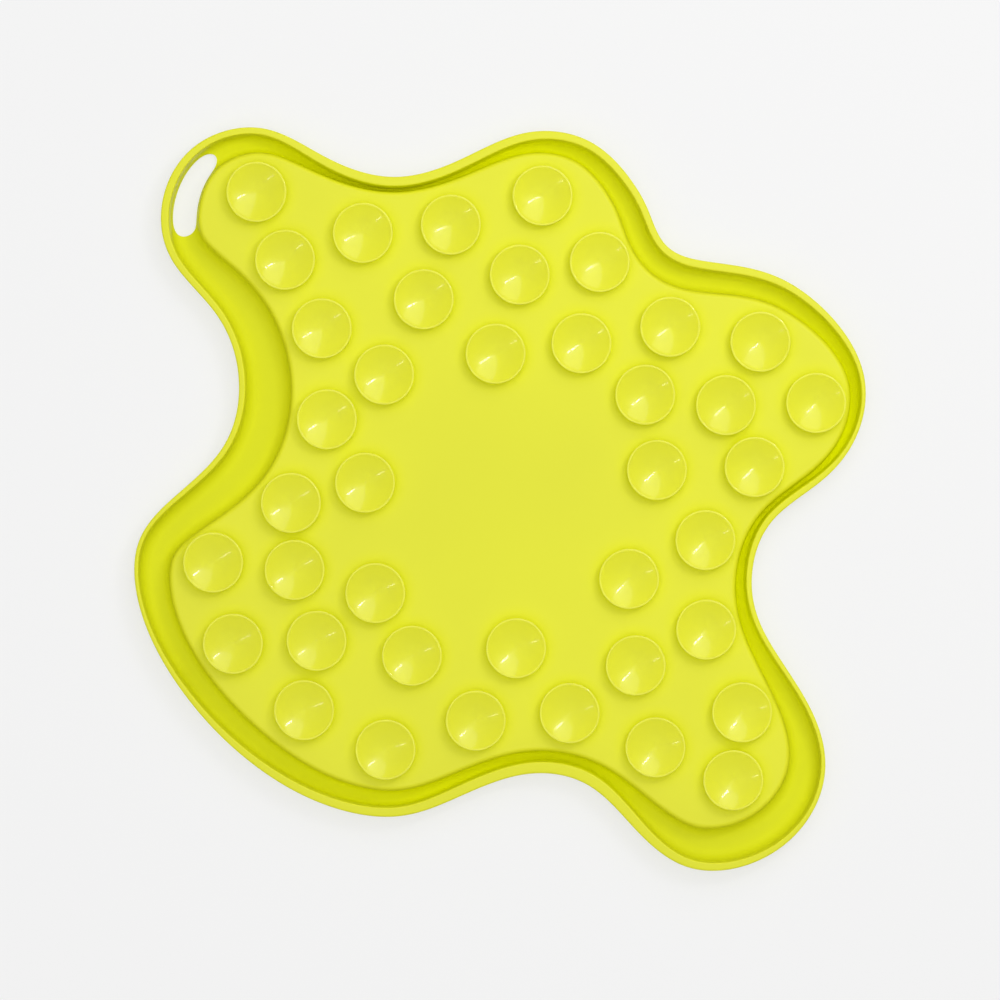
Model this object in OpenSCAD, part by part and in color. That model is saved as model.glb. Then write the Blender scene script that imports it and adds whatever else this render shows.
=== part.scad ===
// Lick mat: one soft moulding with a lobed outline, lying on the rim of its lick tray.
// The tray opens downwards, the back with its field of suction cups faces up.
// Z = 0 is the resting face of the rim, and the origin is the middle of the mat.

/* [Mat] */
// Width of the mat, side to side
mat_w = 244; // [232:1:300]
// Length of the mat, bottom edge to top edge
mat_l = 248; // [236:1:300]
// Depth of the lick tray, from the rim's resting face to its floor
tray_depth = 8; // [7:0.5:12]
// Thickness of the tray's floor
floor_t = 1.8; // [1.4:0.1:3]

/* [Rim] */
// Widest rim, from the outer edge of the mat to the edge of the raised back
rim_w = 18; // [16:0.5:19]
// Thickness of the rim's crest, the part that rests on the table
crest_t = 1.8; // [1.2:0.1:2.6]
// Thickness of the wall round the tray
wall_t = 1.8; // [1.4:0.1:2.6]
// How far the tray's wall leans out between its foot and its head
wall_lean = 0.6; // [0.4:0.1:1.2]
// Radius of the raised back's edge
back_edge_r = 1.4; // [0.6:0.1:1.4]

/* [Lip] */
// Widest lip, on the free edge of the rim
lip_w = 4; // [3.4:0.1:4.4]
// Height of the lip's bead
lip_h = 2.2; // [1.8:0.1:3]
// How far the lip stands out over the skirt below it
lip_overhang = 0.3; // [0.1:0.1:0.4]
// Radius of the lip's inner edge
lip_inner_r = 0.5; // [0.3:0.1:0.7]
// Radius of the lip's outer edge
lip_outer_r = 0.7; // [0.3:0.1:0.7]
// How far the skirt leans in between the lip and the table
skirt_lean = 0.5; // [0.3:0.1:0.8]

/* [Hanging slot] */
// Length of the slot along the rim
slot_l = 29.5; // [20:0.5:34]
// Ledge left between the slot and the walls beside it
slot_ledge = 0.3; // [0.2:0.1:1]

/* [Suction cups] */
// Diameter of a cup's sealing edge
cup_d = 20; // [14:0.5:21]
// Height of a cup over the back
cup_h = 4.4; // [3.6:0.1:6]
// Depth of a cup's hollow
cup_depth = 3.1; // [2:0.1:3.2]
// Diameter of a cup's neck
neck_d = 9; // [6:0.5:11]
// Height of a cup's neck
neck_h = 0.8; // [0.4:0.1:1.4]
// Thickness of a cup's sealing edge
seal_t = 0.6; // [0.4:0.1:1]

/* [Lick tray] */
// Height of the nubs and ridges on the tray's floor
texture_h = 3; // [2:0.2:3.6]
// Thickness of a ridge
ridge_t = 1.6; // [1:0.1:2.4]
// Distance from ridge to ridge
ridge_pitch = 6; // [5:0.5:8]
// Diameter of a nub at its root
nub_d = 4; // [3:0.1:5]
// Diameter of a nub at its tip
nub_tip_d = 2.6; // [2:0.1:3]
// Distance from nub to nub in the open field
nub_pitch = 10; // [8:0.5:14]
// Distance from nub to nub inside a patch
patch_pitch = 7; // [6:0.5:9]
// Diameter of the patch in the middle
middle_patch_d = 58; // [50:1:60]
// Diameter of a patch in a lobe
lobe_patch_d = 38; // [28:1:46]
// Room left between a patch in a lobe and the tray's wall
patch_gap = 2; // [1:0.5:6]

/* [Hidden] */
// The outline, anticlockwise from the right: across and up as shares of the mat's width and
// length, the lip as a share of lip_w, and the whole rim as a share of rim_w.
outline_shares = [
    [0.437, 0.022, 0.53, 0.26], [0.486, 0.081, 0.37, 0.27], [0.499, 0.159, 0.38, 0.31],
    [0.462, 0.235, 0.52, 0.41], [0.393, 0.292, 0.62, 0.51], [0.321, 0.314, 0.69, 0.56],
    [0.259, 0.324, 0.67, 0.59], [0.223, 0.346, 0.60, 0.57], [0.205, 0.383, 0.60, 0.56],
    [0.182, 0.425, 0.62, 0.52], [0.124, 0.480, 0.66, 0.46], [0.034, 0.492, 0.72, 0.39],
    [-0.055, 0.456, 0.77, 0.31], [-0.146, 0.433, 0.79, 0.29], [-0.237, 0.459, 0.72, 0.34],
    [-0.323, 0.498, 0.57, 0.46], [-0.412, 0.478, 0.62, 0.59], [-0.460, 0.407, 0.68, 0.69],
    [-0.449, 0.322, 0.62, 0.71], [-0.387, 0.247, 0.57, 0.86], [-0.357, 0.159, 0.54, 0.97],
    [-0.378, 0.071, 0.50, 0.95], [-0.444, 0.004, 0.43, 0.80], [-0.496, -0.064, 0.37, 0.70],
    [-0.487, -0.163, 0.37, 0.61], [-0.431, -0.263, 0.48, 0.57], [-0.351, -0.346, 0.63, 0.57],
    [-0.252, -0.406, 0.75, 0.53], [-0.145, -0.427, 0.79, 0.49], [-0.055, -0.400, 0.87, 0.44],
    [0.035, -0.370, 0.94, 0.42], [0.121, -0.385, 0.98, 0.45], [0.186, -0.445, 0.86, 0.62],
    [0.257, -0.495, 0.72, 0.77], [0.344, -0.490, 0.62, 0.80], [0.415, -0.439, 0.45, 0.77],
    [0.445, -0.359, 0.37, 0.69], [0.418, -0.269, 0.38, 0.54], [0.361, -0.178, 0.43, 0.37],
    [0.345, -0.099, 0.48, 0.30], [0.373, -0.029, 0.57, 0.26]
];

// Where each suction cup stands, across and up as shares of the mat's width and length.
cup_shares = [
    [-0.332, 0.412], [-0.187, 0.357], [-0.067, 0.368], [0.058, 0.407], [-0.293, 0.321],
    [-0.104, 0.268], [0.027, 0.301], [0.136, 0.318], [-0.243, 0.229], [-0.158, 0.167],
    [-0.006, 0.195], [0.111, 0.209], [0.232, 0.231], [0.355, 0.211], [-0.236, 0.107],
    [0.198, 0.140], [0.308, 0.126], [0.431, 0.129], [-0.184, 0.022], [0.214, 0.039],
    [0.347, 0.043], [-0.285, -0.005], [0.280, -0.055], [-0.391, -0.085], [-0.280, -0.095],
    [-0.170, -0.126], [0.176, -0.107], [0.281, -0.175], [-0.364, -0.194], [-0.250, -0.190],
    [-0.120, -0.210], [0.022, -0.200], [0.185, -0.223], [-0.267, -0.283], [-0.156, -0.336],
    [-0.033, -0.297], [0.095, -0.287], [0.212, -0.333], [0.330, -0.286], [0.318, -0.377]
];

// Where the patches of texture in the lobes would lie, as the cups' places are given.
lobe_patch_shares = [
    [-0.260, 0.340], [0.050, 0.350], [0.315, 0.140], [-0.318, -0.130], [-0.150, -0.250], [0.264, -0.302]
];

// The slot's middle, as a share of the way round the outline.
slot_share = 0.4095;
// How full the slot's ends are: 2 would give an ellipse.
slot_fullness = 7;
// Steps in the arc of a rounded edge.
arc_steps = 3;
// Corners of the outline between one given point and the next.
outline_steps = 3;
// Points round the slot.
slot_points = 48;
// Neighbours on each side that the smooth curve weighs at each given point.
weigh_steps = 8;
// Places tried for a patch between its lobe and the middle.
patch_steps = 60;
// Fineness of round parts.
round_fn = 48;

lip_top_z = tray_depth + floor_t;
lip_base_z = lip_top_z - lip_h;
given = len(outline_shares);

// The weights turn the given points into the corners of a cubic curve that passes through them.
weigh_ratio = sqrt(3) - 2;
weights = [for (j = [-weigh_steps : weigh_steps]) sqrt(3) * pow(weigh_ratio, abs(j))];
function turned(rows, k) = rows[(k % len(rows) + len(rows)) % len(rows)];
corners = [for (k = [0 : given - 1]) weights * [for (j = [-weigh_steps : weigh_steps]) turned(outline_shares, k + j)]];
function cubic(u) = [pow(1 - u, 3), 3 * pow(u, 3) - 6 * pow(u, 2) + 4, 1 + 3 * u + 3 * pow(u, 2) - 3 * pow(u, 3), pow(u, 3)] / 6;
function share_at(v) = let (k = floor(v)) cubic(v - k) * [for (j = [-1 : 2]) turned(corners, k + j)];

stations = [for (i = [0 : given * outline_steps - 1]) i / outline_steps];
share_line = [for (v = stations) share_at(v)];
low_shares = [min([for (p = share_line) p[0]]), min([for (p = share_line) p[1]])];
high_shares = [max([for (p = share_line) p[0]]), max([for (p = share_line) p[1]])];

// A row of the rim at any way v round the outline: x, y, lip width and rim width.
function rim_at(v) = let (p = share_at(v)) [
    mat_w * (p[0] - (low_shares[0] + high_shares[0]) / 2) / (high_shares[0] - low_shares[0]),
    mat_l * (p[1] - (low_shares[1] + high_shares[1]) / 2) / (high_shares[1] - low_shares[1]),
    lip_w * p[2],
    rim_w * p[3]
];
function outward_at(v) = let (a = rim_at(v - 1 / outline_steps), b = rim_at(v + 1 / outline_steps))
    [b[1] - a[1], a[0] - b[0]] / norm([b[1] - a[1], b[0] - a[0]]);
function inside_at(v, d) = let (p = rim_at(v)) [p[0], p[1]] - d * outward_at(v);

rim_rows = [for (v = stations) rim_at(v)];
rim_outward = [for (v = stations) outward_at(v)];

// Closed line that lies d inside the outer edge, with one d for each station.
function line_inside(d) = [for (i = [0 : len(rim_rows) - 1])
    [rim_rows[i][0], rim_rows[i][1]] - d[i] * rim_outward[i]];
lip_foot_line = line_inside([for (p = rim_rows) p[2] + skirt_lean]);
wall_foot_line = line_inside([for (p = rim_rows) p[3] - wall_lean]);
floor_line = line_inside([for (p = rim_rows) p[3] + wall_t]);

function arc_points(middle, r, from, to) = [for (i = [0 : arc_steps]) let (a = from + (to - from) * i / arc_steps)
    middle + r * [cos(a), sin(a)]];

// Ring round the mat: one closed section for each station, each a list of [distance inside, height].
module ring(sections) {
    count = len(sections);
    size = len(sections[0]);
    points = [for (i = [0 : count - 1], q = sections[i])
        [rim_rows[i][0] - q[0] * rim_outward[i][0], rim_rows[i][1] - q[0] * rim_outward[i][1], q[1]]];
    faces = [for (i = [0 : count - 1], j = [0 : size - 1])
        let (a = i * size, b = (i + 1) % count * size, n = (j + 1) % size)
        each [[a + j, b + j, b + n], [a + j, b + n, a + n]]];
    polyhedron(points, faces);
}

module tray_floor() {
    color("#e4e448") translate([0, 0, tray_depth]) linear_extrude(floor_t) polygon(floor_line);
}

module tray_wall() {
    color("#dfe038") ring([for (p = rim_rows) let (w = p[3]) concat(
        [[w + wall_t, tray_depth], [w + wall_t, lip_top_z]],
        arc_points([w + back_edge_r, lip_top_z - back_edge_r], back_edge_r, 90, 180),
        [[w - wall_lean, crest_t], [w - wall_lean, 0], [w + wall_t - wall_lean, 0]])]);
}

// The slot's edge in the channel between the lip's foot and the tray wall's foot.
slot_v = slot_share * given;
function channel_middle(v) = let (p = rim_at(v)) inside_at(v, (p[2] + skirt_lean + p[3] - wall_lean) / 2);
slot_knot_l = norm(channel_middle(slot_v + 1 / 2) - channel_middle(slot_v - 1 / 2));
slot_line = [for (i = [0 : slot_points - 1]) let (
    a = 360 * i / slot_points,
    v = slot_v - slot_l / slot_knot_l * sin(a) / 2,
    p = rim_at(v),
    outer_d = p[2] + skirt_lean + slot_ledge,
    inner_d = p[3] - wall_lean - slot_ledge)
    inside_at(v, (outer_d + inner_d) / 2 + (inner_d - outer_d) / 2 * sign(cos(a)) * sqrt(1 - pow(abs(sin(a)), slot_fullness)))];

module rim_channel() {
    color("#dce127") linear_extrude(crest_t) difference() {
        polygon(lip_foot_line);
        polygon(wall_foot_line);
        polygon(slot_line);
    }
}

module rim_skirt() {
    color("#c8cc10") ring([for (p = rim_rows) let (w = p[2])
        [[w, lip_base_z], [lip_overhang, lip_base_z], [lip_overhang + skirt_lean, 0], [w + skirt_lean, 0], [w + skirt_lean, crest_t]]]);
}

module rim_lip() {
    color("#ebe95c") ring([for (p = rim_rows) let (w = p[2]) concat(
        [[w, lip_base_z]],
        arc_points([w - lip_inner_r, lip_top_z - lip_inner_r], lip_inner_r, 0, 90),
        arc_points([lip_outer_r, lip_top_z - lip_outer_r], lip_outer_r, 90, 180),
        [[lip_overhang, lip_base_z]])]);
}

module suction_cup(k) {
    seal_r = cup_d / 2;
    color("#e3e43f") translate([cup_shares[k][0] * mat_w, cup_shares[k][1] * mat_l, lip_top_z])
        rotate_extrude($fn = round_fn) polygon([
            [0, 0], [neck_d / 2, 0], [neck_d / 2, neck_h], [seal_r - seal_t, cup_h - seal_t],
            [seal_r, cup_h - seal_t], [seal_r, cup_h], [seal_r - seal_t, cup_h], [0, cup_h - cup_depth]]);
}

module nub() {
    translate([0, 0, tray_depth - texture_h])
        cylinder(h = texture_h, d1 = nub_tip_d, d2 = nub_d, $fn = round_fn);
}

module round_ridge(r) {
    translate([0, 0, tray_depth - texture_h]) rotate_extrude($fn = round_fn)
        translate([r - ridge_t / 2, 0]) square([ridge_t, texture_h]);
}

// Concentric ridges round one nub.
module ripple_patch(d) {
    nub();
    for (r = [d / 2 - ridge_t / 2 : -ridge_pitch : nub_d / 2 + ridge_t]) round_ridge(r);
}

// A round ridge filled with nubs in rows.
module nub_patch(d) {
    reach = d / 2 - ridge_t - nub_d / 2 - ridge_t / 2;
    rows = ceil(reach / patch_pitch);
    round_ridge(d / 2 - ridge_t / 2);
    for (i = [-rows : rows], j = [-rows : rows])
        if (norm([i, j]) * patch_pitch <= reach) translate([i * patch_pitch, j * patch_pitch, 0]) nub();
}

// A round ridge filled with straight ridges.
module bar_patch(d) {
    reach = d / 2 - ridge_t;
    rows = floor(reach / ridge_pitch);
    round_ridge(d / 2 - ridge_t / 2);
    for (i = [-rows : rows]) {
        half_l = sqrt(pow(reach, 2) - pow(abs(i) * ridge_pitch + ridge_t / 2, 2)) - ridge_t / 2;
        translate([-half_l, i * ridge_pitch - ridge_t / 2, tray_depth - texture_h])
            cube([2 * half_l, ridge_t, texture_h]);
    }
}

// Room between a place and the foot of the tray's wall.
function to_segment(p, a, b) = let (t = max(0, min(1, (p - a) * (b - a) / ((b - a) * (b - a))))) norm(a + t * (b - a) - p);
function wall_room(p) = min([for (i = [0 : len(floor_line) - 1]) to_segment(p, floor_line[i], turned(floor_line, i + 1))]);

// A patch lies at the first place from its lobe towards the middle that has room for it.
function patch_place(p, i = 0) = let (q = p * (1 - i / patch_steps))
    i == patch_steps || wall_room(q) >= lobe_patch_d / 2 + patch_gap ? q : patch_place(p, i + 1);
patch_places = [for (p = lobe_patch_shares) patch_place([p[0] * mat_w, p[1] * mat_l])];
module lobe_patch(k) {
    color("#e2e33c") translate(concat(patch_places[k], 0)) {
        if (k % 3 == 0) ripple_patch(lobe_patch_d);
        if (k % 3 == 1) nub_patch(lobe_patch_d);
        if (k % 3 == 2) bar_patch(lobe_patch_d);
    }
}

module middle_patch() {
    color("#e2e33c") ripple_patch(middle_patch_d);
}

// A place is free when it lies inside the tray, with an odd number of walls to its right, and has
// room round it to the wall and to every patch.
function walls_right(p) = len([for (i = [0 : len(floor_line) - 1]) let (a = floor_line[i], b = turned(floor_line, i + 1))
    if ((a[1] > p[1]) != (b[1] > p[1]) && p[0] < a[0] + (b[0] - a[0]) * (p[1] - a[1]) / (b[1] - a[1])) i]);
function in_tray(p, room) = walls_right(p) % 2 == 1 && wall_room(p) > room;
function off_patches(p, room) = norm(p) > middle_patch_d / 2 + room
    && min([for (q = patch_places) norm(q - p)]) > lobe_patch_d / 2 + room;
field_rows = ceil(max(mat_w, mat_l) / nub_pitch / 2);
module nub_field() {
    color("#e2e33c") for (i = [-field_rows : field_rows], j = [-field_rows : field_rows]) {
        p = [(i + (j % 2) / 2) * nub_pitch, j * nub_pitch * sqrt(3) / 2];
        if (in_tray(p, nub_d) && off_patches(p, nub_d)) translate(concat(p, 0)) nub();
    }
}

cup_names = [for (k = [1 : len(cup_shares)]) str("suction_cup_", k < 10 ? "0" : "", k)];
patch_names = [for (k = [1 : len(lobe_patch_shares)]) str("lobe_patch_", k)];

tray_floor();
tray_wall();
rim_channel();
rim_skirt();
rim_lip();
nub_field();
middle_patch();
for (k = [0 : len(patch_names) - 1]) lobe_patch(k);
for (k = [0 : len(cup_names) - 1]) suction_cup(k);
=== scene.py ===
import math

import bmesh
import bpy
import numpy as np
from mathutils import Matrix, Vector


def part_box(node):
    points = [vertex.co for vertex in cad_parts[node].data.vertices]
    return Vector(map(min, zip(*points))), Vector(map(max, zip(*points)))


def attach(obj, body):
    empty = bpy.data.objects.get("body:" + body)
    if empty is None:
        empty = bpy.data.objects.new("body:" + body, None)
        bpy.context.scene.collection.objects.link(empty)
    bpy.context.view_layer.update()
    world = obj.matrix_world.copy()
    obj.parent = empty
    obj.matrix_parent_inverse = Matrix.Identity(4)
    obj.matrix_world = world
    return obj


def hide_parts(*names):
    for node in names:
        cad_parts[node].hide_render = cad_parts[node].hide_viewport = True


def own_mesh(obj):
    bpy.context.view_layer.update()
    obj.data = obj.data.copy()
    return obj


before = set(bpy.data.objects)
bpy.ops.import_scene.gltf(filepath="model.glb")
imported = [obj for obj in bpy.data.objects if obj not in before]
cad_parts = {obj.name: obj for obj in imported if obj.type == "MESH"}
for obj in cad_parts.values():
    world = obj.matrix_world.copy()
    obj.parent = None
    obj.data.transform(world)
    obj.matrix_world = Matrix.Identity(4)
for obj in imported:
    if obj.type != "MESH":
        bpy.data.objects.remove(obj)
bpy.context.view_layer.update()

# Body of the mat: one silicone moulding with a lobed outline. A flat back stands on the wall of the
# lick tray, a channel runs round it, and a skirt with a rounded lip closes the rim. It is moulded in
# one shot, so every edge and foot of a wall is rounded, and the hanging slot is cut by the mould.

# Anticlockwise from the right: across and up as shares of the mat's width and length, the lip as a
# share of the widest lip, and the whole rim as a share of the widest rim.
OUTLINE_SHARES = np.array([
    [0.437, 0.022, 0.53, 0.26], [0.486, 0.081, 0.37, 0.27], [0.499, 0.159, 0.38, 0.31],
    [0.462, 0.235, 0.52, 0.41], [0.393, 0.292, 0.62, 0.51], [0.321, 0.314, 0.69, 0.56],
    [0.259, 0.324, 0.67, 0.59], [0.223, 0.346, 0.60, 0.57], [0.205, 0.383, 0.60, 0.56],
    [0.182, 0.425, 0.62, 0.52], [0.124, 0.480, 0.66, 0.46], [0.034, 0.492, 0.72, 0.39],
    [-0.055, 0.456, 0.77, 0.31], [-0.146, 0.433, 0.79, 0.29], [-0.237, 0.459, 0.72, 0.34],
    [-0.323, 0.498, 0.57, 0.46], [-0.412, 0.478, 0.62, 0.59], [-0.460, 0.407, 0.68, 0.69],
    [-0.449, 0.322, 0.62, 0.71], [-0.387, 0.247, 0.57, 0.86], [-0.357, 0.159, 0.54, 0.97],
    [-0.378, 0.071, 0.50, 0.95], [-0.444, 0.004, 0.43, 0.80], [-0.496, -0.064, 0.37, 0.70],
    [-0.487, -0.163, 0.37, 0.61], [-0.431, -0.263, 0.48, 0.57], [-0.351, -0.346, 0.63, 0.57],
    [-0.252, -0.406, 0.75, 0.53], [-0.145, -0.427, 0.79, 0.49], [-0.055, -0.400, 0.87, 0.44],
    [0.035, -0.370, 0.94, 0.42], [0.121, -0.385, 0.98, 0.45], [0.186, -0.445, 0.86, 0.62],
    [0.257, -0.495, 0.72, 0.77], [0.344, -0.490, 0.62, 0.80], [0.415, -0.439, 0.45, 0.77],
    [0.445, -0.359, 0.37, 0.69], [0.418, -0.269, 0.38, 0.54], [0.361, -0.178, 0.43, 0.37],
    [0.345, -0.099, 0.48, 0.30], [0.373, -0.029, 0.57, 0.26]])
LIP_W = 0.004
RIM_W = 0.018
WALL_T = 0.0018
WALL_LEAN = 0.0006
SKIRT_LEAN = 0.0005
LIP_OVERHANG = 0.0003
CREST_T = 0.0018
LIP_FALL = 0.00025
BACK_EDGE_R = 0.0016
LIP_INNER_R = 0.0005
LIP_OUTER_R = 0.0007
FOOT_R = 0.0012
CHANNEL_ROUND_SHARE = 0.34
CORNER_REACH = 8
OUTLINE_STEPS = 18
ARC_STEPS = 7
SLOT_SHARE = 0.4095
SLOT_L = 0.0295
SLOT_LEDGE = 0.0003
SLOT_FULLNESS = 7
SLOT_POINTS = 120
SLOT_CUT_H = 0.0072
CHORD_STEP = 0.1
CHANNEL_R_LEAST = 0.0006
CHANNEL_R_MOST = 0.0034
SHEET_REACH = 0.006
LIP_FOOT_R = 0.0002
TABLE_EDGE_SHARE = 0.6
SHARP_DEG = 60

lip_low, lip_high = (np.array(corner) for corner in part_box("rim_lip"))
BACK_Z = lip_high[2]
LIP_BASE_Z = lip_low[2]
LICK_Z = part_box("tray_floor")[0][2]
mat_span = (lip_high - lip_low)[:2]
mat_middle = (lip_high + lip_low)[:2] / 2


def curve_corners(rows):
    """Corners of the closed uniform cubic B-spline that passes through rows: each corner is the sum
    of the rows up to CORNER_REACH away, weighed by sqrt(3) times (sqrt(3) - 2) to the power of how far
    away they are."""
    reach = range(-CORNER_REACH, CORNER_REACH + 1)
    return sum(math.sqrt(3) * (math.sqrt(3) - 2) ** abs(j) * np.roll(rows, -j, axis=0) for j in reach)


def loop_at(corners, v):
    """Rows of the closed cubic B-spline at the places v, counted in given points from the first:
    the four corners round v, weighed by the cubic basis of v's fraction."""
    k = np.floor(v).astype(int)
    u = (v - k)[:, None]
    basis = [(1 - u) ** 3, 3 * u ** 3 - 6 * u ** 2 + 4, 1 + 3 * u + 3 * u ** 2 - 3 * u ** 3, u ** 3]
    return sum(b * corners[(k + j - 1) % len(corners)] for j, b in enumerate(basis)) / 6


outline_corners = curve_corners(OUTLINE_SHARES)
stations = np.arange(len(OUTLINE_SHARES) * OUTLINE_STEPS) / OUTLINE_STEPS
dense_shares = loop_at(outline_corners, stations)[:, :2]
share_middle = (dense_shares.max(axis=0) + dense_shares.min(axis=0)) / 2
share_span = dense_shares.max(axis=0) - dense_shares.min(axis=0)


def rim_at(v):
    """Outer edge, outward normal, lip width and rim width at the places v round the outline: the
    shares are scaled to the lip's box, and the normal is square to the chord through v."""
    rows = loop_at(outline_corners, v)
    place = (rows[:, :2] - share_middle) / share_span * mat_span + mat_middle
    step = loop_at(outline_corners, v + CHORD_STEP) - loop_at(outline_corners, v - CHORD_STEP)
    chord = step[:, :2] * mat_span
    normal = np.stack([chord[:, 1], -chord[:, 0]], axis=1) / np.linalg.norm(chord, axis=1)[:, None]
    return place, normal, LIP_W * rows[:, 2], RIM_W * rows[:, 3]


def rounded(points, radii, steps):
    """Open polyline whose inner corners are arcs: points is corners x stations x 2, radii is inner
    corners x stations. Each arc touches both sides at radius over tan of half the corner's angle, and
    its points turn evenly from one touching point to the other. Gives rows x stations x 2."""
    rows = [points[0]]
    for corner, before, after, r in zip(points[1:-1], points[:-2], points[2:], radii):
        a = (before - corner) / np.linalg.norm(before - corner, axis=-1, keepdims=True)
        b = (after - corner) / np.linalg.norm(after - corner, axis=-1, keepdims=True)
        half = np.arccos(np.clip((a * b).sum(axis=-1, keepdims=True), -1, 1)) / 2
        r = np.broadcast_to(np.asarray(r, float), corner.shape[:-1])[..., None]
        middle = corner + (a + b) / np.linalg.norm(a + b, axis=-1, keepdims=True) * r / np.sin(half)
        start = corner + a * r / np.tan(half) - middle
        end = corner + b * r / np.tan(half) - middle
        turn = np.pi - 2 * half
        for t in np.arange(steps + 1) / steps:
            rows.append(middle + (np.sin((1 - t) * turn) * start + np.sin(t * turn) * end) / np.sin(turn))
    rows.append(points[-1])
    return np.stack(rows)


def grid_faces(rows, columns):
    """Quads of a grid whose columns close on themselves, numbered row by row."""
    i, j = np.meshgrid(np.arange(rows - 1), np.arange(columns), indexing="ij")
    n = (j + 1) % columns
    quads = [i * columns + j, i * columns + n, (i + 1) * columns + n, (i + 1) * columns + j]
    return np.stack(quads, axis=-1).reshape(-1, 4)


def mesh_piece(name, points, faces, sharp_deg=180):
    """Object at the origin from points and lists of faces, turned outwards, shaded smooth up to sharp_deg."""
    mesh = bpy.data.meshes.new(name)
    mesh.from_pydata(np.asarray(points, float).tolist(), [], faces)
    mesh.validate()
    shell = bmesh.new()
    shell.from_mesh(mesh)
    bmesh.ops.recalc_face_normals(shell, faces=shell.faces)
    shell.to_mesh(mesh)
    shell.free()
    mesh.shade_smooth()
    if sharp_deg < 180:
        mesh.set_sharp_from_angle(angle=math.radians(sharp_deg))
    piece = bpy.data.objects.new(name, mesh)
    bpy.context.scene.collection.objects.link(piece)
    return piece


def body_section(lip, rim):
    """Section of the moulding from the flat of the back, over the rim, to the flat of the tray's floor:
    distances inside the outer edge and heights, one column for each station."""
    one = np.ones_like(lip)
    room = (rim - WALL_LEAN) - (lip + SKIRT_LEAN)
    channel_r = np.clip(CHANNEL_ROUND_SHARE * room, CHANNEL_R_LEAST, CHANNEL_R_MOST)
    corners = [
        (rim + SHEET_REACH, BACK_Z), (rim, BACK_Z), (rim - WALL_LEAN, CREST_T),
        (lip + SKIRT_LEAN, CREST_T), (lip, BACK_Z), (0 * one, BACK_Z - LIP_FALL),
        (0 * one, LIP_BASE_Z), (LIP_OVERHANG * one, LIP_BASE_Z - LIP_OVERHANG),
        ((LIP_OVERHANG + SKIRT_LEAN) * one, 0), (rim + WALL_T - WALL_LEAN, 0),
        (rim + WALL_T, LICK_Z), (rim + SHEET_REACH, LICK_Z)]
    table_edge_r = FOOT_R * TABLE_EDGE_SHARE
    radii = [
        BACK_EDGE_R * one, channel_r, channel_r, LIP_INNER_R * one, LIP_OUTER_R * one,
        LIP_FOOT_R * one, LIP_FOOT_R * one, table_edge_r * one, table_edge_r * one, FOOT_R * one]
    points = np.stack([np.stack([d, z * one], axis=-1) for d, z in corners])
    return rounded(points, radii, ARC_STEPS)


edge, outward, lip_width, rim_width = rim_at(stations)
section = body_section(lip_width, rim_width)
body_points = np.concatenate([edge - section[..., :1] * outward, section[..., 1:]], axis=-1)
row_count, station_count = body_points.shape[:2]
body_faces = grid_faces(row_count, station_count).tolist()
body_faces.append(list(range(station_count)))
body_faces.append(list(range((row_count - 1) * station_count, row_count * station_count)))
mat_body = mesh_piece("mat_body", body_points.reshape(-1, 3), body_faces)

# The slot's edge is a very full ellipse, bent along the channel between the two walls' feet. It has to
# be as long as SLOT_L, so the outline's own pace there turns millimetres into shares.
slot_v = SLOT_SHARE * len(OUTLINE_SHARES)


def channel_place(v, across):
    """Place in the channel at v, from -1 at the lip's side of the slot to 1 at the back's side."""
    place, normal, lip, rim = rim_at(v)
    outer_d, inner_d = lip + SKIRT_LEAN + SLOT_LEDGE, rim - WALL_LEAN - SLOT_LEDGE
    return place - ((outer_d + inner_d) / 2 + (inner_d - outer_d) / 2 * across)[:, None] * normal


near_slot = channel_place(slot_v + np.array([-0.5, 0.5]), np.zeros(2))
slot_turn = 2 * np.pi * np.arange(SLOT_POINTS) / SLOT_POINTS
slot_edge = channel_place(
    slot_v - SLOT_L / np.linalg.norm(near_slot[1] - near_slot[0]) * np.sin(slot_turn) / 2,
    np.sign(np.cos(slot_turn)) * np.sqrt(1 - np.abs(np.sin(slot_turn)) ** SLOT_FULLNESS))
cutter_rings = [np.column_stack([slot_edge, np.full(SLOT_POINTS, z)]) for z in (-CREST_T, SLOT_CUT_H)]
cutter_points = np.concatenate(cutter_rings)
cutter_faces = grid_faces(2, SLOT_POINTS).tolist()
cutter_faces += [list(range(SLOT_POINTS)), list(range(SLOT_POINTS, 2 * SLOT_POINTS))]
slot_cutter = mesh_piece("slot_cutter", cutter_points, cutter_faces)
slot_cut = mat_body.modifiers.new("slot", "BOOLEAN")
slot_cut.operation = "DIFFERENCE"
slot_cut.solver = "EXACT"
slot_cut.object = slot_cutter
bpy.context.view_layer.update()
cut_mesh = bpy.data.meshes.new_from_object(mat_body.evaluated_get(bpy.context.evaluated_depsgraph_get()))
mat_body.modifiers.clear()
mat_body.data = cut_mesh
cut_mesh.shade_smooth()
cut_mesh.set_sharp_from_angle(angle=math.radians(SHARP_DEG))
bpy.data.objects.remove(slot_cutter)

# Finish of the silicone. Colours are those of the open faces, of the deep channel, painted darker as
# painted shade, and of the narrowest hollows, painted brighter and yellower as painted light;
# HOLLOW_REACH is how far off a neighbouring wall still makes a place a hollow.
BODY_LIME = (0.747, 0.755, 0.014)
CHANNEL_SHADE_LIME = (0.665, 0.685, 0.012)
HOLLOW_GLOW_LIME = (0.81, 0.835, 0.0)
BODY_GLOSS = 0.5
BODY_ROUGHNESS = 0.5
BODY_BUMP_MM = 0.02
DEEP_GLOSS = 0.15
ROUGHNESS_SPREAD = 0.03
SILICONE_IOR = 1.41
CLEAR_TINT = (0.98, 0.99, 0.4, 1)
CLOUD_SCALE = 14
CLOUD_DETAIL = 2
CLOUD_NOISE = (0.3, 0.7)
CLOUD_TONES = (0.98, 1.02)
HOLLOW_REACH = 0.006
HOLLOW_SAMPLES = 6
OPEN_SHARES = (0.35, 0.95)
GRAIN_SCALE = 900
GRAIN_DETAIL = 3


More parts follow.
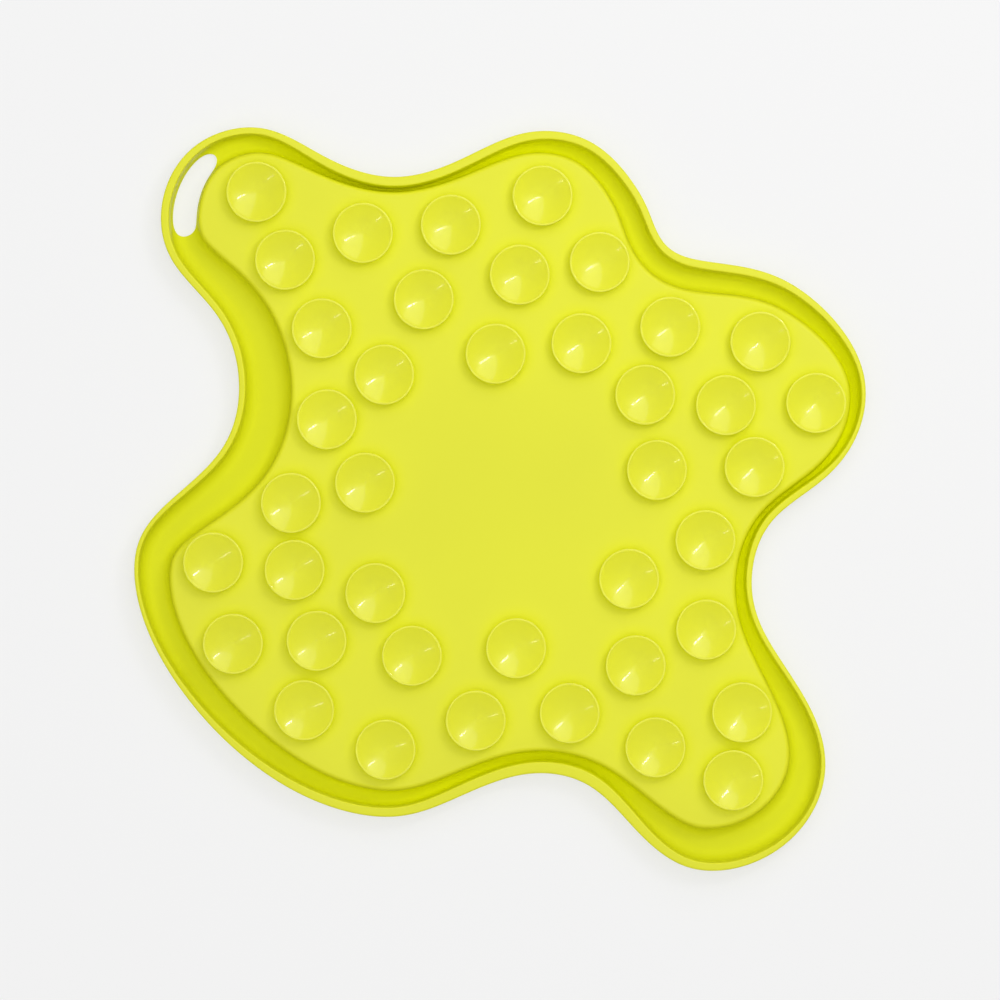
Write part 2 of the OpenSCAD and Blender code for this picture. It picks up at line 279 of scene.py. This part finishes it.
def silicone(name, high, channel_shade, hollow_glow, gloss, roughness, bump_mm, clear):
    """Moulded silicone: the colour high on the face that the mould polishes, and down in the channel the
    colour channel_shade, painted shade that darkens the channel, and more matt, with a very slight
    cloudiness of tone and a satin skin whose fine bump is the mould's own. Narrow hollows, found by
    ambient occlusion, are painted in the colour hollow_glow, a painted glow that stands in for light
    wandering inside the silicone and losing its blue, and their sheen is dimmed as painted shade. The
    share clear of the light goes straight through."""
    material = bpy.data.materials.new(name)
    material.use_nodes = True
    nodes, links = material.node_tree.nodes, material.node_tree.links
    shader = nodes["Principled BSDF"]
    place = nodes.new("ShaderNodeTexCoord")
    cloud = nodes.new("ShaderNodeTexNoise")
    cloud.inputs["Scale"].default_value = CLOUD_SCALE
    cloud.inputs["Detail"].default_value = CLOUD_DETAIL
    tone = nodes.new("ShaderNodeMapRange")
    tone.inputs["From Min"].default_value = CLOUD_NOISE[0]
    tone.inputs["From Max"].default_value = CLOUD_NOISE[1]
    tone.inputs["To Min"].default_value = CLOUD_TONES[0]
    tone.inputs["To Max"].default_value = CLOUD_TONES[1]
    # Painted shade: the colour darkens from the open face down into the channel.
    split = nodes.new("ShaderNodeSeparateXYZ")
    height = nodes.new("ShaderNodeMapRange")
    height.interpolation_type = "SMOOTHSTEP"
    height.inputs["From Min"].default_value = CREST_T
    height.inputs["From Max"].default_value = BACK_Z - BACK_EDGE_R / 2
    height_shade = nodes.new("ShaderNodeMix")
    height_shade.data_type = "RGBA"
    height_shade.inputs["A"].default_value = (*channel_shade, 1)
    height_shade.inputs["B"].default_value = (*high, 1)
    # Painted light: narrow hollows are painted brighter and yellower by ambient occlusion, and the sheen
    # there is dimmed as painted shade.
    hollow = nodes.new("ShaderNodeAmbientOcclusion")
    hollow.samples = HOLLOW_SAMPLES
    hollow.inputs["Distance"].default_value = HOLLOW_REACH
    openness = nodes.new("ShaderNodeMapRange")
    openness.inputs["From Min"].default_value = OPEN_SHARES[0]
    openness.inputs["From Max"].default_value = OPEN_SHARES[1]
    glow = nodes.new("ShaderNodeMix")
    glow.data_type = "RGBA"
    glow.inputs["A"].default_value = (*hollow_glow, 1)
    shade = nodes.new("ShaderNodeVectorMath")
    shade.operation = "SCALE"
    polish = nodes.new("ShaderNodeMapRange")
    polish.inputs["To Min"].default_value = DEEP_GLOSS
    polish.inputs["To Max"].default_value = gloss
    open_polish = nodes.new("ShaderNodeMath")
    open_polish.operation = "MULTIPLY"
    grain = nodes.new("ShaderNodeTexNoise")
    grain.inputs["Scale"].default_value = GRAIN_SCALE
    grain.inputs["Detail"].default_value = GRAIN_DETAIL
    bump = nodes.new("ShaderNodeBump")
    bump.inputs["Strength"].default_value = 1
    bump.inputs["Distance"].default_value = bump_mm / 1000
    shine = nodes.new("ShaderNodeMapRange")
    shine.inputs["To Min"].default_value = roughness - ROUGHNESS_SPREAD
    shine.inputs["To Max"].default_value = roughness + ROUGHNESS_SPREAD
    links.new(place.outputs["Object"], cloud.inputs["Vector"])
    links.new(place.outputs["Object"], grain.inputs["Vector"])
    links.new(place.outputs["Object"], split.inputs["Vector"])
    links.new(split.outputs["Z"], height.inputs["Value"])
    links.new(height.outputs["Result"], height_shade.inputs["Factor"])
    links.new(height.outputs["Result"], polish.inputs["Value"])
    links.new(polish.outputs["Result"], open_polish.inputs[0])
    links.new(openness.outputs["Result"], open_polish.inputs[1])
    links.new(open_polish.outputs["Value"], shader.inputs["Specular IOR Level"])
    links.new(cloud.outputs["Fac"], tone.inputs["Value"])
    links.new(hollow.outputs["AO"], openness.inputs["Value"])
    links.new(openness.outputs["Result"], glow.inputs["Factor"])
    links.new(height_shade.outputs["Result"], glow.inputs["B"])
    links.new(glow.outputs["Result"], shade.inputs[0])
    links.new(tone.outputs["Result"], shade.inputs["Scale"])
    links.new(shade.outputs["Vector"], shader.inputs["Base Color"])
    links.new(grain.outputs["Fac"], bump.inputs["Height"])
    links.new(bump.outputs["Normal"], shader.inputs["Normal"])
    links.new(cloud.outputs["Fac"], shine.inputs["Value"])
    links.new(shine.outputs["Result"], shader.inputs["Roughness"])
    shader.inputs["IOR"].default_value = SILICONE_IOR
    if clear > 0:
        through = nodes.new("ShaderNodeBsdfTransparent")
        through.inputs["Color"].default_value = CLEAR_TINT
        blend = nodes.new("ShaderNodeMixShader")
        blend.inputs["Fac"].default_value = clear
        links.new(shader.outputs["BSDF"], blend.inputs[1])
        links.new(through.outputs["BSDF"], blend.inputs[2])
        links.new(blend.outputs["Shader"], nodes["Material Output"].inputs["Surface"])
    return material


body_silicone = silicone(
    "body_silicone", high=BODY_LIME, channel_shade=CHANNEL_SHADE_LIME, hollow_glow=HOLLOW_GLOW_LIME,
    gloss=BODY_GLOSS, roughness=BODY_ROUGHNESS, bump_mm=BODY_BUMP_MM, clear=0)
mat_body.data.materials.append(body_silicone)
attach(mat_body, "mat")
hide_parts("tray_floor", "tray_wall", "rim_channel", "rim_skirt", "rim_lip")

# Texture of the lick side: nubs and ridges that the mould leaves on the tray's floor, one piece with
# it. Nubs fill the open floor, round ridges ripple in the middle, and each lobe has a round patch of
# ridges or nubs. Roots and crests are rounded, so that a tongue or a brush gets everywhere.
TEXTURE_H = 0.003
NUB_ROOT_R = 0.002
NUB_TIP_R = 0.0013
NUB_PITCH = 0.01
NUB_SIDES = 12
NUB_ARC_STEPS = 1
RIDGE_ARC_STEPS = 3
PATCH_PITCH = 0.007
RIDGE_HALF_W = 0.0008
RIDGE_PITCH = 0.006
RIDGE_SIDES = 120
BAR_END_SIDES = 8
ROOT_FILLET_R = 0.0003
NUB_CREST_R = 0.0008
RIDGE_CREST_R = 0.0005
TEXTURE_SINK = 0.0002


def swell_section(root, tip, crest_r, steps):
    """Half section of a nub or ridge: rows of distance from its middle and height, up from inside the
    floor, round a fillet, along the flank and over a rounded shoulder to the flat of the crest."""
    corners = np.array([
        [2 * root, LICK_Z], [root, LICK_Z], [tip, LICK_Z - TEXTURE_H], [0, LICK_Z - TEXTURE_H]])[:, None]
    curve = rounded(corners, [ROOT_FILLET_R, crest_r], steps)[1:-1, 0]
    return np.concatenate([[[curve[0, 0], LICK_Z + TEXTURE_SINK]], curve])


nub_section = swell_section(NUB_ROOT_R, NUB_TIP_R, NUB_CREST_R, NUB_ARC_STEPS)
ridge_section = swell_section(RIDGE_HALF_W, RIDGE_HALF_W, RIDGE_CREST_R, RIDGE_ARC_STEPS)


def straight_swell(start, end, section, end_sides):
    """Closed ridge from start to end, and a nub where they are one place: each row of the section
    goes round the middle line at its own distance, in half a circle about each end."""
    along = math.atan2(*(end - start)[::-1])
    turn = along + math.pi * ((np.arange(end_sides) + 0.5) / end_sides - 0.5)
    half = np.stack([np.cos(turn), np.sin(turn)], axis=-1)
    middle = np.concatenate([np.tile(end, (end_sides, 1)), np.tile(start, (end_sides, 1))])
    flat = middle + section[:, :1, None] * np.concatenate([half, -half])
    height = np.broadcast_to(section[:, 1, None, None], flat.shape[:2] + (1,))
    columns = 2 * end_sides
    caps = [list(range(columns)), list(range((len(section) - 1) * columns, len(section) * columns))]
    return np.concatenate([flat, height], axis=-1).reshape(-1, 3), grid_faces(len(section), columns), caps


def round_swell(middle, radius):
    """Closed round ridge: the section stands on the circle of that radius, inner flank and outer."""
    whole = np.concatenate([ridge_section * [-1, 1], ridge_section[::-1]])
    turn = 2 * np.pi * np.arange(RIDGE_SIDES) / RIDGE_SIDES
    ring = np.stack([np.cos(turn), np.sin(turn)], axis=-1)
    flat = middle + (radius + whole[:, :1, None]) * ring
    height = np.broadcast_to(whole[:, 1, None, None], flat.shape[:2] + (1,))
    faces = grid_faces(len(whole) + 1, RIDGE_SIDES) % (len(whole) * RIDGE_SIDES)
    return np.concatenate([flat, height], axis=-1).reshape(-1, 3), faces, []


def nub_at(place):
    """One round nub: a ridge whose two ends are one place."""
    return straight_swell(place, place, nub_section, NUB_SIDES // 2)


def ripple_patch(middle, reach):
    """Round ridges about one nub, from the outermost inwards, a pitch apart."""
    radii = np.arange(reach - RIDGE_HALF_W, NUB_ROOT_R + 2 * RIDGE_HALF_W, -RIDGE_PITCH)
    return [nub_at(middle)] + [round_swell(middle, radius) for radius in radii]


def nub_patch(middle, reach):
    """A round ridge filled with nubs in rows."""
    room = reach - 3 * RIDGE_HALF_W - NUB_ROOT_R
    rows = np.arange(-math.ceil(room / PATCH_PITCH), math.ceil(room / PATCH_PITCH) + 1) * PATCH_PITCH
    steps = np.stack(np.meshgrid(rows, rows), axis=-1).reshape(-1, 2)
    steps = steps[np.hypot(*steps.T) <= room]
    return [round_swell(middle, reach - RIDGE_HALF_W)] + [nub_at(middle + step) for step in steps]


def bar_patch(middle, reach):
    """A round ridge filled with straight ridges, each as long as the circle leaves room for."""
    room = reach - 2 * RIDGE_HALF_W
    parts = [round_swell(middle, reach - RIDGE_HALF_W)]
    for row in range(-math.floor(room / RIDGE_PITCH), math.floor(room / RIDGE_PITCH) + 1):
        half_l = math.sqrt(room ** 2 - (abs(row) * RIDGE_PITCH + RIDGE_HALF_W) ** 2) - 2 * RIDGE_HALF_W
        centre = middle + np.array([0, row * RIDGE_PITCH])
        reach_x = np.array([half_l, 0])
        parts.append(straight_swell(centre - reach_x, centre + reach_x, ridge_section, BAR_END_SIDES))
    return parts


def texture_piece(name, node, parts):
    """Dress a node with the closed shapes of its texture, put together as one mesh."""
    starts = np.cumsum([0] + [len(points) for points, quads, caps in parts])
    faces = np.concatenate([quads + start for (points, quads, caps), start in zip(parts, starts)]).tolist()
    for (points, quads, caps), start in zip(parts, starts):
        faces += [(np.array(cap) + start).tolist() for cap in caps]
    piece = mesh_piece(name, np.concatenate([points for points, quads, caps in parts]), faces, SHARP_DEG)
    piece.data.materials.append(body_silicone)
    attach(piece, "mat")
    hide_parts(node)


def middle_and_reach(node):
    """Middle and radius of a round patch, from its node's box."""
    low, high = (np.array(corner[:2]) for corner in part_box(node))
    return (low + high) / 2, (high[0] - low[0]) / 2


# The nubs stand in rows that cross at sixty degrees, wherever the CAD's node has one: each of its
# points is rounded to the nearest crossing.
field_mesh = bpy.data.objects["nub_field"].data
field_points = np.empty(3 * len(field_mesh.vertices))
field_mesh.vertices.foreach_get("co", field_points)
field_x, field_y, _ = field_points.reshape(-1, 3).T
field_row = np.round(field_y / (NUB_PITCH * math.sqrt(3) / 2))
field_column = np.round(field_x / NUB_PITCH - np.fmod(field_row, 2) / 2)
field_column, field_row = np.unique(np.stack([field_column, field_row]), axis=1)
nub_x = (field_column + np.fmod(field_row, 2) / 2) * NUB_PITCH
nub_places = np.stack([nub_x, field_row * NUB_PITCH * math.sqrt(3) / 2], axis=-1)
texture_piece("tray_nubs", "nub_field", [nub_at(place) for place in nub_places])
texture_piece("middle_ripple", "middle_patch", ripple_patch(*middle_and_reach("middle_patch")))
for number in range(1, 7):
    node = f"lobe_patch_{number}"
    fill = (ripple_patch, nub_patch, bar_patch)[(number - 1) % 3]
    texture_piece(f"lobe_texture_{number}", node, fill(*middle_and_reach(node)))

# Suction cups: forty bells of the same silicone, moulded with the back. Each stands on a short neck,
# flares to a thin sealing edge and holds a shallow hollow.
CUP_SEAL_R = 0.01
CUP_NECK_R = 0.0045
CUP_NECK_H = 0.0008
CUP_DEPTH = 0.0031
CUP_SLOPE = 0.22
CUP_TIP_R = 0.0004
CUP_SEAL_T = 0.0006
CUP_SINK = 0.0002
CUP_FOOT_SPREAD = 0.0012
CUP_FOOT_RISE = 0.0001
CUP_AXIS_R = 0.00001
CUP_FLARE_SHARE = 1.6
CUP_RADII = [0.0001, 0.0004, 0.0006, 0.0006, 0.00015, 0.00022, 0.00025]
CUP_SIDES = 96
CUP_ARC_STEPS = 5
CUP_HOLLOW_STEPS = 24
HOLLOW_EDGE_SHARE = 0.9
HOLLOW_START_SHARE = 0.95
# Painted light: the cups' colour is lighter than the body's, standing in for light through the thin bells,
# and their hollows get a brighter painted glow.
CUP_LIT_LIME = (0.9, 0.9, 0.01)
CUP_HOLLOW_GLOW_LIME = (0.92, 0.92, 0.0)
CUP_GLOSS = 0.7
CUP_ROUGHNESS = 0.3
CUP_BUMP_MM = 0.002
CUP_CLEAR = 0.35
CUP_COAT = 0.7
CUP_COAT_ROUGHNESS = 0.06
EDGE_BAND = 0.0007
# Painted highlight: the sealing edge is painted paler, as if it caught more light.
EDGE_HIGHLIGHT_LIME = (0.92, 0.92, 0.045)
EDGE_CLEAR = 0.2

cup_names = sorted(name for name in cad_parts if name.startswith("suction_cup_"))
CUP_TOP_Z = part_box(cup_names[0])[1][2]
CUP_H = CUP_TOP_Z - BACK_Z


def turned(profile, sides):
    """Surface of revolution about Z: each row of the profile, radius and height, becomes a ring."""
    angle = 2 * np.pi * np.arange(sides) / sides
    ring = np.stack([np.cos(angle), np.sin(angle)], axis=-1)
    flat = profile[:, :1, None] * ring[None]
    height = np.broadcast_to(profile[:, 1, None, None], flat.shape[:2] + (1,))
    return np.concatenate([flat, height], axis=-1)


def cup_profile():
    """The cup's section from the middle of its foot, over the sealing edge, to the bottom of the hollow.
    The hollow is a cone whose slope grows with the square of the radius, with a small round tip."""
    inner_r = CUP_SEAL_R - CUP_SEAL_T
    edge_slope = 3 * CUP_DEPTH / inner_r - 2 * CUP_SLOPE
    edge_drop = (1 - HOLLOW_EDGE_SHARE) * inner_r * edge_slope
    corners = np.array([
        [CUP_AXIS_R, -CUP_SINK], [CUP_NECK_R + CUP_FOOT_SPREAD, -CUP_SINK],
        [CUP_NECK_R, CUP_FOOT_RISE], [CUP_NECK_R, CUP_NECK_H],
        [inner_r, CUP_H - CUP_FLARE_SHARE * CUP_SEAL_T], [CUP_SEAL_R, CUP_H - CUP_SEAL_T],
        [CUP_SEAL_R, CUP_H], [inner_r, CUP_H], [HOLLOW_EDGE_SHARE * inner_r, CUP_H - edge_drop]])[:, None]
    outside = rounded(corners, CUP_RADII, CUP_ARC_STEPS)[:-1, 0]
    share = np.linspace(HOLLOW_START_SHARE, 0, CUP_HOLLOW_STEPS)
    flare = CUP_DEPTH - CUP_SLOPE * inner_r
    r = share * inner_r
    drop = CUP_DEPTH - CUP_SLOPE * (np.hypot(r, CUP_TIP_R) - CUP_TIP_R) - flare * share ** 3
    return np.concatenate([outside, np.stack([r, CUP_H - drop], axis=-1)[:-1]])


def cup_mesh(place):
    """Points and faces of a cup: its section turned about the axis through place, with a point at
    the bottom of the hollow and a flat foot."""
    profile = cup_profile()
    rings = turned(profile, CUP_SIDES)
    points = np.concatenate([rings.reshape(-1, 3), [[0, 0, CUP_H - CUP_DEPTH]]]) + [*place, BACK_Z]
    faces = grid_faces(len(profile), CUP_SIDES).tolist()
    last = (len(profile) - 1) * CUP_SIDES
    faces += [[last + j, last + (j + 1) % CUP_SIDES, len(points) - 1] for j in range(CUP_SIDES)]
    faces.append(list(range(CUP_SIDES)))
    return points, faces


# The cups' skin is glossy and they let some light through. They are painted lighter than the body as painted
# light for the light through the thin bells, and their sealing edges are painted paler as a painted highlight
# and are denser.
cup_silicone = silicone(
    "cup_silicone", high=CUP_LIT_LIME, channel_shade=CUP_LIT_LIME, hollow_glow=CUP_HOLLOW_GLOW_LIME,
    gloss=CUP_GLOSS, roughness=CUP_ROUGHNESS, bump_mm=CUP_BUMP_MM, clear=CUP_CLEAR)
cup_nodes, cup_links = cup_silicone.node_tree.nodes, cup_silicone.node_tree.links
cup_shader = cup_nodes["Principled BSDF"]
cup_shader.inputs["Coat Weight"].default_value = CUP_COAT
cup_shader.inputs["Coat Roughness"].default_value = CUP_COAT_ROUGHNESS
# Painted highlight: the base colour turns paler towards the sealing edge.
edge_share = cup_nodes.new("ShaderNodeAttribute")
edge_share.attribute_name = "sealing_edge"
edge_highlight = cup_nodes.new("ShaderNodeMix")
edge_highlight.data_type = "RGBA"
edge_highlight.inputs["B"].default_value = (*EDGE_HIGHLIGHT_LIME, 1)
edge_clear = cup_nodes.new("ShaderNodeMapRange")
edge_clear.inputs["To Min"].default_value = CUP_CLEAR
edge_clear.inputs["To Max"].default_value = EDGE_CLEAR
cup_links.new(edge_share.outputs["Fac"], edge_highlight.inputs["Factor"])
cup_links.new(cup_shader.inputs["Base Color"].links[0].from_socket, edge_highlight.inputs["A"])
cup_links.new(edge_highlight.outputs["Result"], cup_shader.inputs["Base Color"])
cup_links.new(edge_share.outputs["Fac"], edge_clear.inputs["Value"])
cup_links.new(edge_clear.outputs["Result"], cup_nodes["Mix Shader"].inputs["Fac"])
for name in cup_names:
    low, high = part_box(name)
    middle = (np.array(low) + np.array(high))[:2] / 2
    points, faces = cup_mesh(middle)
    cup = mesh_piece(name.replace("suction_cup", "cup"), points, faces)
    nearness = np.clip(1 - (CUP_SEAL_R - np.hypot(*(points[:, :2] - middle).T)) / EDGE_BAND, 0, 1)
    cup.data.attributes.new("sealing_edge", "FLOAT", "POINT").data.foreach_set("value", nearness)
    cup.data.materials.append(cup_silicone)
    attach(cup, "mat")
    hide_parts(name)
    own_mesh(cup)

# Floor of the studio: a plain pale table that the mat lies on. Its paper keeps the mat's shadow and is
# evened out, where it is seen, towards the tone PAPER_SEEN by the share PAPER_EVEN.
FLOOR_REACH = 6.0
PAPER_GREY = 0.86
PAPER_ROUGHNESS = 0.9
PAPER_EVEN = 0.7
PAPER_SEEN = 0.91
floor_corners = np.array([[-1, -1, 0], [1, -1, 0], [1, 1, 0], [-1, 1, 0]]) * FLOOR_REACH
floor_mesh = bpy.data.meshes.new("studio_floor")
floor_mesh.from_pydata(floor_corners.tolist(), [], [(0, 1, 2, 3)])
studio_floor = bpy.data.objects.new("studio_floor", floor_mesh)
bpy.context.scene.collection.objects.link(studio_floor)
paper = bpy.data.materials.new("pale_paper")
paper.use_nodes = True
paper_nodes, paper_links = paper.node_tree.nodes, paper.node_tree.links
paper_shader = paper_nodes["Principled BSDF"]
paper_shader.inputs["Base Color"].default_value = (PAPER_GREY, PAPER_GREY, PAPER_GREY, 1)
paper_shader.inputs["Roughness"].default_value = PAPER_ROUGHNESS
paper_ray = paper_nodes.new("ShaderNodeLightPath")
paper_seen = paper_nodes.new("ShaderNodeMath")
paper_seen.operation = "MAXIMUM"
paper_seen_through = paper_nodes.new("ShaderNodeMath")
paper_seen_through.operation = "MAXIMUM"
paper_share = paper_nodes.new("ShaderNodeMath")
paper_share.operation = "MULTIPLY"
paper_share.inputs[1].default_value = PAPER_EVEN
paper_glow = paper_nodes.new("ShaderNodeEmission")
paper_glow.inputs["Color"].default_value = (PAPER_SEEN, PAPER_SEEN, PAPER_SEEN, 1)
paper_blend = paper_nodes.new("ShaderNodeMixShader")
paper_links.new(paper_ray.outputs["Is Camera Ray"], paper_seen.inputs[0])
paper_links.new(paper_ray.outputs["Is Glossy Ray"], paper_seen.inputs[1])
paper_links.new(paper_seen.outputs["Value"], paper_seen_through.inputs[0])
paper_links.new(paper_ray.outputs["Is Transmission Ray"], paper_seen_through.inputs[1])
paper_links.new(paper_seen_through.outputs["Value"], paper_share.inputs[0])
paper_links.new(paper_share.outputs["Value"], paper_blend.inputs["Fac"])
paper_links.new(paper_shader.outputs["BSDF"], paper_blend.inputs[1])
paper_links.new(paper_glow.outputs["Emission"], paper_blend.inputs[2])
paper_links.new(paper_blend.outputs["Shader"], paper_nodes["Material Output"].inputs["Surface"])
floor_mesh.materials.append(paper)

# Light of the studio: a tent that is brightest overhead, a large soft lamp from the upper right that
# fans out in the cups, and two narrow lamps that draw their sharp streaks.
SKY_LOW = 0.3
SKY_TOP = 3.16
SKY_POWER = 10
SKY_SEEN = 0.9
world = bpy.data.worlds.new("studio")
world.use_nodes = True
sky_nodes, sky_links = world.node_tree.nodes, world.node_tree.links
sky_place = sky_nodes.new("ShaderNodeTexCoord")
sky_split = sky_nodes.new("ShaderNodeSeparateXYZ")
sky_crown = sky_nodes.new("ShaderNodeMath")
sky_crown.operation = "POWER"
sky_crown.inputs[1].default_value = SKY_POWER
sky_shade = sky_nodes.new("ShaderNodeMapRange")
sky_shade.inputs["To Min"].default_value = SKY_LOW
sky_shade.inputs["To Max"].default_value = SKY_TOP
sky_links.new(sky_place.outputs["Generated"], sky_split.inputs["Vector"])
sky_links.new(sky_split.outputs["Z"], sky_crown.inputs[0])
sky_links.new(sky_crown.outputs["Value"], sky_shade.inputs["Value"])
sky_ray = sky_nodes.new("ShaderNodeLightPath")
sky_seen = sky_nodes.new("ShaderNodeMath")
sky_seen.operation = "MAXIMUM"
sky_seen_through = sky_nodes.new("ShaderNodeMath")
sky_seen_through.operation = "MAXIMUM"
sky_level = sky_nodes.new("ShaderNodeMix")
sky_level.inputs["B"].default_value = SKY_SEEN
sky_links.new(sky_ray.outputs["Is Camera Ray"], sky_seen.inputs[0])
sky_links.new(sky_ray.outputs["Is Glossy Ray"], sky_seen.inputs[1])
sky_links.new(sky_seen.outputs["Value"], sky_seen_through.inputs[0])
sky_links.new(sky_ray.outputs["Is Transmission Ray"], sky_seen_through.inputs[1])
sky_links.new(sky_seen_through.outputs["Value"], sky_level.inputs["Factor"])
sky_links.new(sky_shade.outputs["Result"], sky_level.inputs["A"])
sky_links.new(sky_level.outputs["Result"], sky_nodes["Background"].inputs["Strength"])
sky_nodes["Background"].inputs["Color"].default_value = (1, 1, 1, 1)
bpy.context.scene.world = world


def soft_lamp(name, turn_deg, lean_deg, distance, width, tall, shine):
    """Soft lamp that looks at the middle of the mat from the turn round it and the lean off the
    vertical, tall times as long up the lean as it is wide. Its power, shine times the square of pi
    times the distance over the cosine of the lean, gives a white floor there the brightness shine."""
    lean, turn = math.radians(lean_deg), math.radians(turn_deg)
    data = bpy.data.lights.new(name, "AREA")
    data.shape = "RECTANGLE"
    data.size = width * tall
    data.size_y = width
    data.energy = shine * (math.pi * distance) ** 2 / math.cos(lean)
    lamp = bpy.data.objects.new(name, data)
    bpy.context.scene.collection.objects.link(lamp)
    off = distance * math.sin(lean)
    lamp.location = (off * math.cos(turn), off * math.sin(turn), distance * math.cos(lean))
    lamp.rotation_euler = (0, lean, turn)


soft_lamp("upper_right_lamp", turn_deg=65, lean_deg=42, distance=1.0, width=0.6, tall=1.2, shine=0.165)
soft_lamp("right_lamp", turn_deg=38, lean_deg=34, distance=0.8, width=0.034, tall=5.5, shine=0.1)
soft_lamp("lower_left_lamp", turn_deg=207, lean_deg=42, distance=0.8, width=0.03, tall=6, shine=0.018)

# Camera: straight above the mat, far enough away that the walls hardly lean.
CAMERA_HEIGHT = 1.8
CAMERA_Y = -0.0003
SENSOR_MM = 36
PICTURE_WIDTH = 1 / 3
camera_data = bpy.data.cameras.new("camera")
camera_data.sensor_width = SENSOR_MM
camera_data.lens = SENSOR_MM * CAMERA_HEIGHT / PICTURE_WIDTH
camera = bpy.data.objects.new("camera", camera_data)
camera.location = (0, CAMERA_Y, BACK_Z + CAMERA_HEIGHT)
bpy.context.scene.collection.objects.link(camera)
bpy.context.scene.camera = camera
bpy.context.scene.view_settings.view_transform = "Standard"
